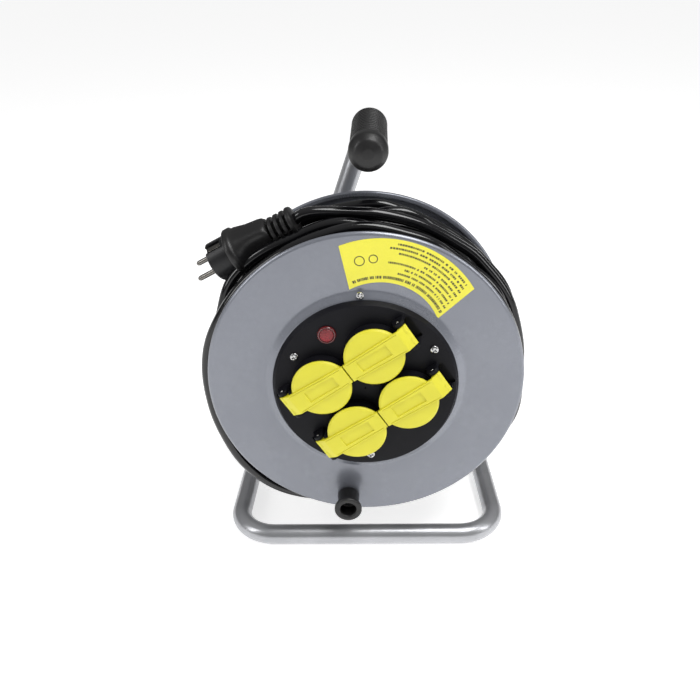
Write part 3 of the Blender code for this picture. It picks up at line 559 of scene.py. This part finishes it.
def make_tube():
    path = []
    bent = filleted_path(stand_corners(), BEND_R, 20)
    for a, b in zip(bent, bent[1:]):
        steps = max(1, round((b - a).length / 12))
        path += [a.lerp(b, k / steps) for k in range(steps)]
    path.append(stand_corners()[-1])
    sides = 40
    bm = bmesh.new()
    rings = []
    side = Vector((1, 0, 0))
    for i, point in enumerate(path):
        tangent = (path[min(i + 1, len(path) - 1)] - path[max(i - 1, 0)]).normalized()
        side = (side - tangent * side.dot(tangent)).normalized()
        up = tangent.cross(side)
        angles = [2 * pi * k / sides for k in range(sides)]
        rings.append([bm.verts.new(point + TUBE_R * (cos(a) * side + sin(a) * up)) for a in angles])
    for one, two in zip(rings, rings[1:]):
        for k in range(sides):
            j = (k + 1) % sides
            bm.faces.new((one[k], one[j], two[j], two[k]))
    bm.faces.new(rings[0])
    bm.faces.new(rings[-1])
    tube = finish("tube", bm, tube_paint(), "stand", Matrix.Identity(4))
    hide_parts("stand_tube")


def make_grip():
    low, high = node_box("handle_grip")
    radius = (high.x - low.x) / 2
    length = high.y - low.y + GRIP_OVERHANG
    cap = 19.5
    profile = [(0, 0), (5, 0.2, 4), (12, 2.6, 6), (radius, 8.5, 6), (radius, cap, 1.2),
               (radius - 1.2, cap + 0.8, 0.4)]
    ribs = 12
    start = cap + 2
    pitch = (length - 6 - start) / ribs
    for k in range(ribs):
        base = start + k * pitch
        profile += [(radius - 3.4, base, 0.3), (radius - 0.5, base + 0.2 * pitch, 0.8),
                    (radius - 0.5, base + 0.62 * pitch, 0.8), (radius - 3.4, base + 0.84 * pitch, 0.3)]
    profile += [(radius - 1.5, length - 5), (radius - 0.4, length - 4.6, 1), (radius - 0.4, length, 1.5),
                (TUBE_R + 0.3, length), (TUBE_R + 0.3, length - 8), (0, length - 8)]
    place = Matrix.Translation(((low.x + high.x) / 2, low.y - GRIP_OVERHANG, (low.z + high.z) / 2))
    place = place @ Matrix.Rotation(-GRIP_SLANT, 4, "Z")
    grip = lathe("grip", profile, rubber_black(), "stand", place, 96, 3)
    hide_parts("handle_grip")


def make_stand_hardware():
    """Hub plate, axle, spacer, washers and nut, turned finely."""
    low, high = node_box("hub_plate")
    centre = (low + high) / 2
    place = Matrix.Translation((centre.x, low.y, centre.z))
    half = (high - low) / 2
    plate = prism("plate", rectangle(half.x, half.z, 10), 0, high.y - low.y, tube_paint(), "stand", place,
                  bevel=0.5)
    carve(plate, [cylinder_tool(6.3, -5, 10, place)])
    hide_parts("hub_plate")
    for name in ("axle_spacer", "thrust_washer", "front_washer", "nut_washer"):
        low, high = node_box(name)
        outer = (high.x - low.x) / 2
        inner = 6.4 if name == "nut_washer" else 8.3
        place = Matrix.Translation((AXIS.x, low.y, AXIS.z))
        washer = ring(inner, outer, 0, high.y - low.y, 0.35)
        part = lathe(name + "_turned", washer, steel(), "stand", place, 64, 2)
        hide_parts(name)
    low, high = node_box("axle")
    shoulder = node_box("hub_plate")[0].y - low.y - 0.3
    length = high.y - low.y
    profile = [(0, 0), (8, 0, 1), (8, shoulder, 0.3), (6, shoulder), (6, shoulder + 11)]
    threads = int((length - shoulder - 12) / 1.5)
    for k in range(threads):
        profile += [(5.3, shoulder + 11.4 + 1.5 * k), (6, shoulder + 12.1 + 1.5 * k)]
    profile += [(5.2, length), (0, length)]
    axle = lathe("axle_turned", profile, steel(), "stand", Matrix.Translation((AXIS.x, low.y, AXIS.z)), 64, 2)
    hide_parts("axle")
    make_nut()


def make_nut():
    low, high = node_box("axle_nut")
    corner = (high.x - low.x) / 2
    length = high.y - low.y
    place = Matrix.Translation((AXIS.x, low.y, AXIS.z))
    hexagon = [(corner * cos(pi * k / 3), corner * sin(pi * k / 3)) for k in range(6)]
    nut = prism("nut", hexagon, 0, length, steel(), "stand", place)
    chamfer = lathe_bmesh([(corner * 0.86, -1), (corner + 4, -1), (corner + 4, length + 1),
                           (corner * 0.86, length + 1), (corner * 0.88, length), (corner + 0.2, length - 1.6),
                           (corner + 0.2, 1.6), (corner * 0.88, 0)], 64)
    carve(nut, [finish("tool", chamfer, steel(), None, place), cylinder_tool(6.2, -2, length + 2, place)])
    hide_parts("axle_nut")


# ---------------------------------------------------------------- drum

def flange_outline(inner, step_r, step_h):
    """Half section of a flange, front at depth 0: stepped centre, web and rolled hem."""
    hem_in = FLANGE_R - HEM_W
    return [
        (inner, -step_h), (step_r - 6.5, -step_h, 6), (step_r, 0, 6), (FLANGE_R - 2.2, 0, 3.5),
        (FLANGE_R, 2.2, 1.6), (FLANGE_R - 1, HEM_T, 1.6), (hem_in, HEM_T, 1.8), (hem_in, SHEET, 0.3),
        (step_r - 0.5, SHEET, 5), (step_r - 7, SHEET - step_h, 5), (inner, SHEET - step_h),
    ]


def make_flanges():
    front = lathe("flange_front", flange_outline(OPENING_R, STEP_R, STEP_H), flange_paint(), "drum",
                  segments=256, steps=6, sharp=50)
    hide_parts("front_flange")
    outline = [(p[0], DRUM_W - p[1], *p[2:]) for p in flange_outline(12.6, STEP_R, REAR_STEP)]
    rear = lathe("flange_rear", outline, flange_paint(), "drum", segments=256, steps=6, sharp=50)
    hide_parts("rear_flange")
    core = lathe("core", ring(CORE_R - SHEET, CORE_R, SHEET, DRUM_W - SHEET), steel(), "drum", segments=128)
    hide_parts("drum_core")


def make_sleeve():
    rear = node_box("hub_sleeve")[1].y - AXIS.y
    profile = [(8.3, 50), (12.2, 50, 0.5), (12.2, rear - 3), (30, rear - 3, 0.8), (30, rear - 0.6, 1.2),
               (20, rear - 0.2, 1), (18, rear - 1.2, 1), (14, rear - 1.2, 1), (13, rear, 0.6), (8.3, rear)]
    sleeve = lathe("sleeve", profile, plug_black(), "drum")
    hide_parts("hub_sleeve")


# ---------------------------------------------------------------- socket panel

def socket_places():
    """Name, centre and outward angle of each socket, in drum axes."""
    along = Vector((cos(GRID_ANGLE), 0, sin(GRID_ANGLE)))
    across = Vector((-sin(GRID_ANGLE), 0, cos(GRID_ANGLE)))
    half = PITCH / 2
    return (
        ("left", -half * along + half * across, GRID_ANGLE + pi),
        ("top", half * along + half * across, GRID_ANGLE),
        ("right", half * along - half * across, GRID_ANGLE),
        ("bottom", -half * along - half * across, GRID_ANGLE + pi),
    )


def socket_place(centre, angle, u=0.0, w=0.0, depth=0.0):
    """A place in a socket's own axes: u outward along its strap, w across it."""
    return at(centre.x, 0, centre.z, angle) @ Matrix.Translation((u, depth, w))


def make_panel():
    profile = [
        (0, PANEL_FACE), (81.8, PANEL_FACE, 0.8), (82.8, PANEL_FACE + 1.8, 0.8),
        (PANEL_R, -STEP_H - 1.4, 0.5), (PANEL_R, -STEP_H - 0.3, 0.2),
        (79.4, -STEP_H - 0.3), (79.4, 2), (76.9, 2), (76.9, PANEL_FACE + 4), (0, PANEL_FACE + 4),
    ]
    panel = lathe("panel", profile, panel_black(), "drum", segments=192)
    tools = [cylinder_tool(7.4, -30, 30, at(BUTTON_X, 0, BUTTON_Z))]
    tools.append(cylinder_tool(0.9, -30, PANEL_FACE + 2, at(0, 0, 0), 16))
    for name, centre, angle in socket_places():
        tools.append(cylinder_tool(COLLAR_R - 1.4, -30, 30, socket_place(centre, angle), 72))
        tools.append(box_tool(6, TIP_HALF + 0.6, PANEL_FACE - 3, PANEL_FACE + 3.4,
                              socket_place(centre, angle, HINGE_U + 4), 1))
    carve(panel, tools)
    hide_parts("socket_panel")
    for name, centre, angle in socket_places():
        make_lugs(name, centre, angle)


def make_lugs(name, centre, angle):
    """Two rounded ears for a lid's hinge pin, with the pin's domed ends."""
    top = HINGE_Y - 4
    outline = [(7, PANEL_FACE + 1), (5.6, PANEL_FACE - 1.5, 2), (4.8, top, 4.6), (-4.8, top, 4.6),
               (-5.6, PANEL_FACE - 1.5, 2), (-7, PANEL_FACE + 1)]
    outer = TIP_HALF + 0.5
    for k, side in enumerate((-1, 1)):
        low, high = sorted((side * outer, side * (outer + 3.6)))
        place = socket_place(centre, angle, HINGE_U)
        prism("lug_%s_%d" % (name, k + 1), outline, low, high, panel_black(), "drum", place, "Z", 0.7)
    place = socket_place(centre, angle, HINGE_U, depth=HINGE_Y) @ Matrix.Rotation(pi / 2, 4, "X")
    reach = outer + 4.1
    pin = lathe("pin_" + name, [(0, -reach - 0.5), (1.4, -reach, 0.7), (1.4, reach, 0.7), (0, reach + 0.5)],
                nickel(), "drum", place, 32)
    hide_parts("hinge_pin_" + name)


def make_cups():
    floor = COLLAR_FRONT + CUP_DEPTH
    body_r = COLLAR_R - 1.5
    profile = [
        (0, floor), (CUP_R, floor, 0.6), (CUP_R, COLLAR_FRONT, 0.6), (COLLAR_R - 1, COLLAR_FRONT, 0.8),
        (COLLAR_R + 1.4, PANEL_FACE - 0.2, 0.4), (body_r, PANEL_FACE - 0.2), (body_r, floor + 3),
        (0, floor + 3),
    ]
    for name, centre, angle in socket_places():
        cup = lathe("cup_" + name, profile, panel_black(), "drum", socket_place(centre, angle), 96, 3)
        holes = []
        for across in (-PIN_HALF, PIN_HALF):
            holes.append(cylinder_tool(2.9, -30, 30, socket_place(centre, angle, 0, across), 24))
        holes.append(box_tool(2.2, 1.2, -30, 30, socket_place(centre, angle, 9, 0), 0.4))
        carve(cup, holes)
        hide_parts("socket_cup_" + name)


def lid_disc():
    disc = [(0, LID_FRONT), (LID_R - 1.6, LID_FRONT, 0.5), (LID_R, LID_FRONT + 1.5, 0.5),
            (LID_R, LID_BACK, 0.5), (LID_R - 2, LID_BACK, 0.3), (LID_R - 2.4, LID_BACK - 1, 0.3),
            (0, LID_BACK - 1)]
    return lathe_bmesh(disc, 128, 3)


def strap_outline():
    """Side view of the strap in (outward, depth): flat, a fold, then the sloping tip."""
    return [
        (-PITCH / 2 + 0.6, STRAP_FRONT, 0.4), (HINGE_U - 4, STRAP_FRONT, 2),
        (HINGE_U + 5.5, STRAP_FRONT + 6.2, 0.8), (HINGE_U + 5.0, STRAP_FRONT + 7.8, 0.6),
        (HINGE_U - 4, STRAP_FRONT + 2.6, 1), (0, STRAP_FRONT + 2.4),
        (-PITCH / 2 + 0.6, STRAP_FRONT + 2.4),
    ]


def make_lids():
    for name, centre, angle in socket_places():
        body = "lid_" + name
        place = socket_place(centre, angle)
        disc = finish("flap_" + name, lid_disc(), lid_yellow(), body, place)
        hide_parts("lid_" + name)
        strap = prism("strap_" + name, strap_outline(), -TIP_HALF, TIP_HALF, lid_yellow(), None, place, "Z")
        tools = [box_tool(15.4, 5.5, STRAP_FRONT - 2, STRAP_FRONT + 1.1, place, 0.6)]
        for side in (-1, 1):
            edge = socket_place(centre, angle, -PITCH / 2, side * STRAP_HALF)
            edge = edge @ Matrix.Rotation(-side * STRAP_FLARE, 4, "Y")
            groove = edge @ Matrix.Translation((30, 0, -1.4 * side))
            tools.append(box_tool(26, 0.35, STRAP_FRONT - 2, STRAP_FRONT + 0.5, groove))
            outside = edge @ Matrix.Translation((35, 0, 3 * side))
            tools.append(box_tool(45, 3, STRAP_FRONT - 2, STRAP_FRONT + 12, outside))
        carve(strap, tools)
        edges = strap.modifiers.new("edges", "BEVEL")
        edges.width = 0.35 * MM
        edges.segments = 2
        edges.limit_method = "ANGLE"
        edges.angle_limit = radians(50)
        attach(strap, body)
        eye = arc((0, HINGE_Y), 3, -10, 190, 16) + [(-4.6, LID_FRONT + 1), (3.4, LID_FRONT + 2.4)]
        for k, side in enumerate((-1, 1)):
            low, high = sorted((side * 3.2, side * 10))
            prism("knuckle_%s_%d" % (name, k + 1), eye, low, high, lid_yellow(), body,
                  socket_place(centre, angle, HINGE_U), "Z", 0.3)


def make_button():
    place = at(BUTTON_X, PANEL_FACE, BUTTON_Z)
    bezel = lathe("bezel", [(6.5, -2.4, 0.4), (7.7, -2.4, 0.5), (8.4, -1.2, 0.4), (8.4, -0.2), (7.2, -0.2),
                            (7.2, 5), (6.5, 5)], red_plastic(), "drum", place)
    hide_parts("cutout_bezel")
    cap = [(0, -2.5), (4.2, -2.6, 1), (5.6, -3, 0.4), (6.2, -2.2, 0.4), (6.2, 1.6), (0, 1.6)]
    button = lathe("button", cap, red_stipple(), "reset_button", place)
    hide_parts("reset_button")


def pan_screw(name, node, head_r, place, turn):
    """Pan head with a cross recess."""
    profile = [(0, -2.3), (0.55 * head_r, -2.15, 1), (0.9 * head_r, -1.5, 0.8), (head_r, -0.3, 0.2),
               (head_r, 0.3), (1.4, 0.3), (1.4, 4), (0, 4)]
    screw = lathe(name, profile, steel(), "drum", place, 48, 3)
    tools = []
    for k in range(2):
        slot = place @ Matrix.Rotation(turn + k * pi / 2, 4, "Y")
        tools.append(box_tool(0.62 * head_r, 0.75, -4, -0.4, slot, 0.2))
    carve(screw, tools)
    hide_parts(node)


# Angle from X in degrees and distance from the axis
PANEL_SCREWS = ((32.5, 72.5), (152.4, 71.0), (273.6, 71.8))
EARTH_SCREW_ANGLE = 92.5


def make_screws():
    for k, (angle, radius) in enumerate(PANEL_SCREWS):
        spot = polar(angle, radius, PANEL_FACE - 0.2)
        pan_screw("screw_%d" % (k + 1), "panel_screw_%d" % (k + 1), 4.0, at(*spot), 0.5 + 0.6 * k)
    earth_spot = polar(EARTH_SCREW_ANGLE, STEP_R - 2.8, -STEP_H - 0.1)
    pan_screw("screw_earth", "earth_screw", 3.6, at(*earth_spot), 0.2)


LABEL_CENTRE = (13.0, 45.0)
LABEL_OUTER = 94.3
LABEL_INNER = 54.3
# Radius, first angle, last angle and half height of each row of bars
LABEL_ROWS = (
    (59, 25, 112, 1.3), (64, 27, 75, 0.9), (68.5, 29, 72, 0.9), (73, 30, 84, 0.9),
    (77.5, 31, 62, 0.9), (82, 32, 78, 0.9), (86.2, 33, 84, 0.9), (90.2, 34, 80, 0.9),
)
# Radius, angle and size of each plain ring mark
LABEL_RINGS = ((76, 103, 4.6), (76, 94, 4.0))


def make_label():
    """Sticker: an arc-shaped sheet with rows of short generic bars and two plain marks."""
    outline = arc(LABEL_CENTRE, LABEL_OUTER, 30, 111.5, 48) + arc(LABEL_CENTRE, LABEL_INNER, 118.7, 20.4, 40)
    label = prism("label", outline, -0.3, -0.02, label_yellow(), "drum", steps=1)
    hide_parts("rating_label")
    bm = bmesh.new()
    draw = random.Random(4)
    for radius, start, stop, height in LABEL_ROWS:
        angle = start
        while angle < stop:
            width = draw.uniform(0.5, 1.3)
            word = arc(LABEL_CENTRE, radius - height, angle, angle + width, 3)
            word += arc(LABEL_CENTRE, radius + height, angle + width, angle, 3)
            prism_into(bm, word, -0.36, -0.25)
            angle += width + draw.choice((0.35, 0.35, 0.45, 1.5))
    for radius, angle, size in LABEL_RINGS:
        centre = arc(LABEL_CENTRE, radius, angle, angle, 1)[0]
        for k in range(24):
            a, b = 360 * k / 24, 360 * (k + 1) / 24
            prism_into(bm, arc(centre, size - 0.8, a, b, 1) + arc(centre, size, b, a, 1), -0.36, -0.25)
    finish("label_marks", bm, label_ink(), "drum")


def make_knob():
    low, high = node_box("crank_knob")
    centre = (low + high) / 2
    length = high.y - low.y
    place = Matrix.Translation((centre.x, low.y, centre.z))
    collar = (high.x - low.x) / 2
    profile = [
        (0, length - 8), (5.2, length - 8), (7.5, length - 9), (7.6, 1.2, 0.6), (8.6, 0.1, 1),
        (collar - 0.8, 0.1, 1.2), (collar, 1.4, 1), (collar, 3.6, 1), (collar - 1.6, 5, 1), (9.8, 6.2, 1.5),
        (10, 12, 4), (10.6, length - 0.6, 0.8), (9, length, 0.5), (0, length),
    ]
    knob = lathe("knob", profile, rubber_black(), "knob", place, 96, 4)
    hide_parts("crank_knob")


# ---------------------------------------------------------------- plug

def plug_pose():
    """Plug axes: -Y out of its face, Z along the line of its pins."""
    back = -PLUG_AXIS
    across = (PIN_LINE - back * PIN_LINE.dot(back)).normalized()
    side = back.cross(across)
    return DRUM @ Matrix.Translation(PLUG_FACE) @ Matrix((side, back, across)).transposed().to_4x4()


def make_plug():
    pose = plug_pose()
    made = [make_plug_insert(pose), make_plug_body(pose), make_relief(pose)]
    for k, side in enumerate((-1, 1)):
        profile = [(0, -20), (1.4, -19.8, 0.8), (2.4, -17.8, 1), (2.4, 9), (0, 9)]
        place = pose @ Matrix.Translation((0, 0, PIN_HALF * side))
        pin = lathe("prong_%d" % (k + 1), profile, pin_metal(), "drum", place, 40)
        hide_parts("plug_pin_%d" % (k + 1))
        strip = prism("earth_%d" % (k + 1), rectangle(0.5, 2.4, 0.3), 2.5, 15.5, pin_metal(), "drum",
                      pose @ Matrix.Translation((side * 16.2, 0, 0)))
        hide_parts("plug_earth_%d" % (k + 1))
        made += [pin, strip]
    return made


def make_plug_insert(pose):
    profile = [(0, 0), (INSERT_R - 1, 0, 0.6), (INSERT_R, 1, 0.5), (INSERT_R, 20), (0, 20)]
    insert = lathe("plug_front", profile, plug_black(), "drum", pose, 128)
    tools = [box_tool(3.4, 4.4, -2, 16, pose @ Matrix.Translation((17.2 * s, 0, 0)), 0.4) for s in (-1, 1)]
    tools += [cylinder_tool(2.8, -2, 1, pose @ Matrix.Translation((0, 0, PIN_HALF * s)), 40) for s in (-1, 1)]
    for side in (-1, 1):
        for k in (-2, -1, 1, 2):
            groove = pose @ Matrix.Translation((INSERT_R * side, 0, 2.1 * k + (2.6 if k > 0 else -2.6)))
            tools.append(box_tool(0.9, 0.45, 3, 18, groove))
    carve(insert, tools)
    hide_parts("plug_insert")
    return insert


# Depth behind the face, half width across the pins, half width along them, and squareness from 0 to 1
PLUG_STATIONS = (
    (20.2, 21.4, 21.4, 0), (21, 22.2, 22.2, 0), (25.4, 22.2, 22.2, 0), (26.6, 21, 21, 0), (27.4, 20.4, 20, 0),
    (31, 19.4, 18, 0.2), (36, 18.2, 14.8, 0.5), (42, 17.0, 12.4, 0.75), (48, 16.2, 11.8, 0.8),
    (54, 15.6, 11.8, 0.7), (58, 15.0, 11.6, 0.5), (60, 13.4, 11, 0.3), (60.4, 9, 9, 0),
)


def make_plug_body(pose):
    """Rubber body: wide collar, then a waist whose sides are scooped flat for the fingers."""
    sides = 96
    bm = bmesh.new()
    rings = []
    for depth, wide, narrow, square in PLUG_STATIONS:
        ring_verts = []
        for k in range(sides):
            a = 2 * pi * k / sides
            power = 2 + 2.4 * square
            span = (abs(cos(a)) ** power + abs(sin(a)) ** power) ** (-1 / power)
            ring_verts.append(bm.verts.new((wide * span * cos(a), depth, narrow * span * sin(a))))
        rings.append(ring_verts)
    for one, two in zip(rings, rings[1:]):
        for k in range(sides):
            j = (k + 1) % sides
            bm.faces.new((one[k], one[j], two[j], two[k]))
    bm.faces.new(rings[0])
    bm.faces.new(rings[-1])
    body = finish("plug_grip", bm, rubber_black(), "drum", pose, sharp=45)
    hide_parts("plug_body")
    return body


def make_relief(pose):
    """Bend relief: a slim core with split fins and a thicker end ring."""
    profile = [(0, 60.3), (8, 60.3)]
    fins = 3
    pitch = 6.1
    for k in range(fins):
        base = 62.4 + k * pitch
        profile += [(7.4, base), (13.2, base, 0.6), (12.9, base + 3, 0.6), (7.4, base + 3)]
    profile += [(7.4, 80.4), (13.8, 80.4, 0.8), (13.2, 84.4, 1.2), (5.2, PLUG_LENGTH), (0, PLUG_LENGTH)]
    relief = lathe("relief", profile, rubber_black(), "drum", pose, 72, 2)
    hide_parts("strain_relief")
    for k, side in enumerate((-1, 1)):
        rib = prism("relief_rib_%d" % (k + 1), rectangle(1.8, 2.6), 60.3, 80.6, rubber_black(), "drum",
                    pose @ Matrix.Translation((0, 0, 8.9 * side)), bevel=0.4)
    return relief


# ---------------------------------------------------------------- carried-over nodes, stage and light

# Strengths of the floor's own light and of the sky at the horizon, overhead and as the camera sees it
FLOOR_GLOW = 0.62
SKY_LOW = 0.12
SKY_HIGH = 0.42
SKY_SEEN = 0.92


def paint_nodes():
    """Give every CAD node that still shows its detailed material."""
    looks = {
        "silver_tube_paint": tube_paint, "grey_flange_paint": flange_paint, "zinc_plate": steel,
        "brass": brass, "nickel_plate": nickel, "black_plastic": panel_black, "black_rubber": rubber_black,
        "cable_pvc": cable_black, "yellow_plastic": lid_yellow, "red_plastic": red_plastic,
    }
    slots = {row["node"]: row["material_slot"] for row in frame["record"]["subparts"]}
    for name, obj in frame["nodes"].items():
        look = looks[slots[name]]()
        obj.data.materials.clear()
        obj.data.materials.append(look)


def make_stage():
    """A near-white floor, and a plain pale sky whose light is dimmer towards the horizon."""
    bm = bmesh.new()
    bmesh.ops.create_grid(bm, x_segments=2, y_segments=2, size=20000)
    mat = surface("floor_paint", (0.9, 0.9, 0.9), (0.94, 0.94, 0.94), 0.6, grain=60, bump=0.0)
    shader = mat.node_tree.nodes["Principled BSDF"]
    shader.inputs["Emission Color"].default_value = (1, 1, 1, 1)
    shader.inputs["Emission Strength"].default_value = FLOOR_GLOW
    floor = finish("floor", bm, mat, None, Matrix.Identity(4))
    bpy.context.scene.view_settings.view_transform = "Standard"
    world = bpy.data.worlds.new("studio")
    bpy.context.scene.world = world
    world.use_nodes = True
    nodes = world.node_tree.nodes
    link = world.node_tree.links.new
    coords = nodes.new("ShaderNodeTexCoord")
    split = nodes.new("ShaderNodeSeparateXYZ")
    ramp = nodes.new("ShaderNodeMapRange")
    ramp.inputs["From Min"].default_value = 0.0
    ramp.inputs["From Max"].default_value = 0.9
    ramp.inputs["To Min"].default_value = SKY_LOW
    ramp.inputs["To Max"].default_value = SKY_HIGH
    link(coords.outputs["Generated"], split.inputs["Vector"])
    link(split.outputs["Z"], ramp.inputs["Value"])
    seen = nodes.new("ShaderNodeLightPath")
    choose = nodes.new("ShaderNodeMix")
    choose.inputs["B"].default_value = SKY_SEEN
    link(seen.outputs["Is Camera Ray"], choose.inputs["Factor"])
    link(ramp.outputs["Result"], choose.inputs["A"])
    link(choose.outputs["Result"], nodes["Background"].inputs["Strength"])
    nodes["Background"].inputs["Color"].default_value = (1, 1, 1, 1)


def area_light(name, place, target, size, power):
    data = bpy.data.lights.new(name, "AREA")
    data.shape = "RECTANGLE"
    data.size, data.size_y = size
    data.energy = power
    light = bpy.data.objects.new(name, data)
    bpy.context.scene.collection.objects.link(light)
    light.location = place
    light.rotation_euler = (Vector(target) - Vector(place)).to_track_quat("-Z", "Y").to_euler()


def make_lights():
    area_light("key", (0.5, -0.5, 1.7), (0, 0, 0.2), (0.8, 0.8), 19)
    area_light("left", (-1.3, -0.6, 0.9), (0, 0, 0.2), (0.3, 1.0), 7)
    area_light("right", (1.3, -0.5, 0.8), (0, 0, 0.2), (0.3, 1.0), 6)


make_camera()
cable = make_cable()
paint_nodes()
make_tube()
make_grip()
make_stand_hardware()
make_flanges()
make_sleeve()
make_panel()
make_cups()
make_lids()
make_button()
make_screws()
make_label()
make_knob()
make_plug()
make_stage()
make_lights()
